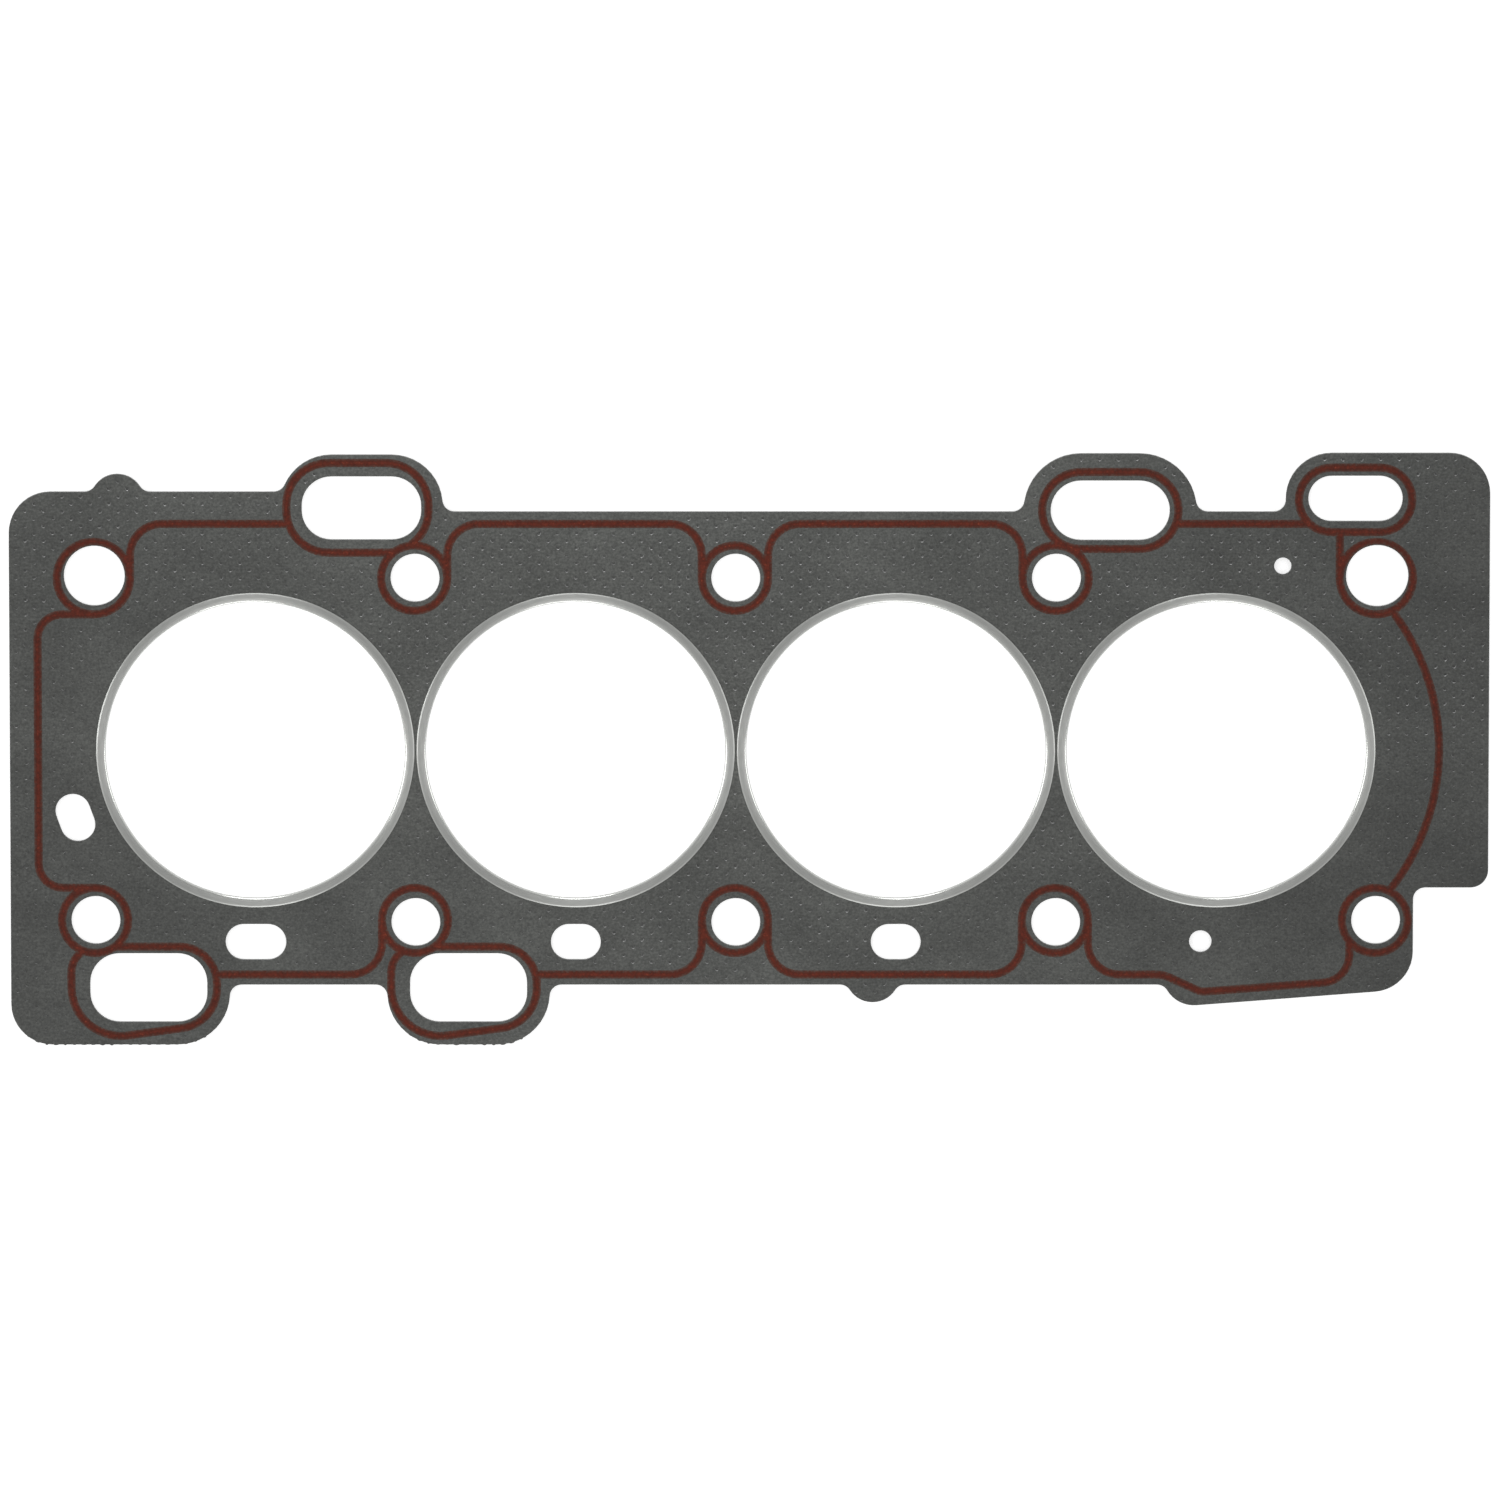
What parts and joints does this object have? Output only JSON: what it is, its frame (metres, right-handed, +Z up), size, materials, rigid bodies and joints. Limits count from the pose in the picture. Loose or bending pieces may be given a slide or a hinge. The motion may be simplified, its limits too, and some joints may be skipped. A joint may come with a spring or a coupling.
{
  "type": "cylinder head gasket",
  "caption": "Flat composite gasket that seals a cylinder head to an in-line engine block, with folded steel fire rings and printed silicone beads.",
  "frame": {"origin": "on the block's deck, at the middle of the row of bores: the lower flanges of the fire rings stand on Z = 0", "axes": "+X along the row of bores towards the cut-away corner, +Y across it towards the dowel holes, +Z up towards the cylinder head"},
  "size_m": [0.4201, 0.17, 0.0016],
  "materials": {
    "graphite": "matt dark grey flexible graphite",
    "core_steel": "plain cold rolled sheet",
    "ring_steel": "satin stainless sheet",
    "silicone": "matt brick red print"
  },
  "bodies": {
    "root": {"steel_core": "core_steel", "upper_facing": "graphite", "lower_facing": "graphite", "fire_ring_1": "ring_steel", "fire_ring_2": "ring_steel", "fire_ring_3": "ring_steel", "fire_ring_4": "ring_steel", "upper_seal_bead": "silicone", "lower_seal_bead": "silicone"}
  },
  "joints": []
}
